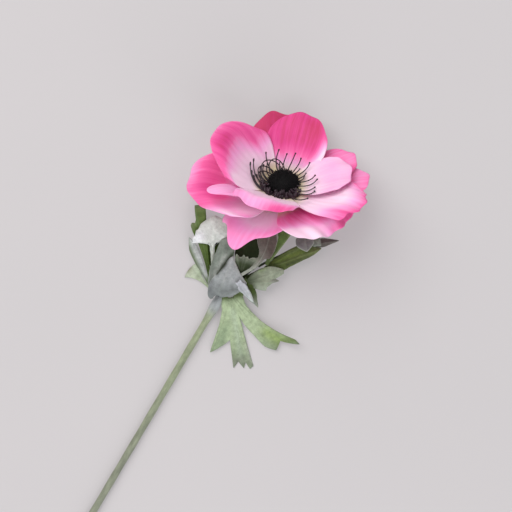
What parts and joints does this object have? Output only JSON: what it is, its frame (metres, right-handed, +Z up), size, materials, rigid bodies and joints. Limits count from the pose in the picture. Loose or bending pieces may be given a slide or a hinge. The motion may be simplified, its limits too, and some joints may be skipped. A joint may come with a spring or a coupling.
{
  "type": "anemone flower",
  "caption": "Cut anemone flower with a nodding bloom of cupped petals, a dark centre ringed by stamens, a whorl of cut leaves and a bare stem, lying on a surface.",
  "frame": {"origin": "centre of the part's box, on the surface it lies on", "axes": "+Y along the straight stem from its cut end towards the bloom, +Z up from the surface, +X to the right seen from above with the bloom away from the viewer"},
  "size_m": [0.082, 0.2508, 0.0518],
  "materials": {
    "petal_fabric": "soft printed fabric, cream at the base, pale pink then deep pink towards the rim",
    "leaf_flock": "velvety grey-green flock with pale edges",
    "stem_flock": "matte mottled green",
    "receptacle_plastic": "matte green",
    "boss_fibre": "fuzzy black fibre",
    "filament_plastic": "dark purple-brown, slightly glossy"
  },
  "bodies": {
    "root": {"petal_inner_back": "petal_fabric", "petal_inner_left": "petal_fabric", "petal_inner_right": "petal_fabric", "petal_inner_front_right": "petal_fabric", "petal_inner_front": "petal_fabric", "petal_inner_front_left": "petal_fabric", "petal_outer_back": "petal_fabric", "petal_outer_left": "petal_fabric", "petal_outer_front_left": "petal_fabric", "petal_outer_front_right": "petal_fabric", "petal_outer_right": "petal_fabric", "petal_outer_back_right": "petal_fabric", "leaf_lower": "leaf_flock", "leaf_front": "leaf_flock", "leaf_left_middle": "leaf_flock", "leaf_left_pale": "leaf_flock", "leaf_left_dark": "leaf_flock", "leaf_left_thin": "leaf_flock", "leaf_left_low": "leaf_flock", "leaf_middle_toothed": "leaf_flock", "leaf_middle_strap": "leaf_flock", "leaf_middle_tall": "leaf_flock", "leaf_right": "leaf_flock", "leaf_right_low": "leaf_flock", "leaf_right_back": "leaf_flock", "stem": "stem_flock", "receptacle": "receptacle_plastic", "centre_boss": "boss_fibre", "stamens": "filament_plastic"}
  },
  "joints": []
}
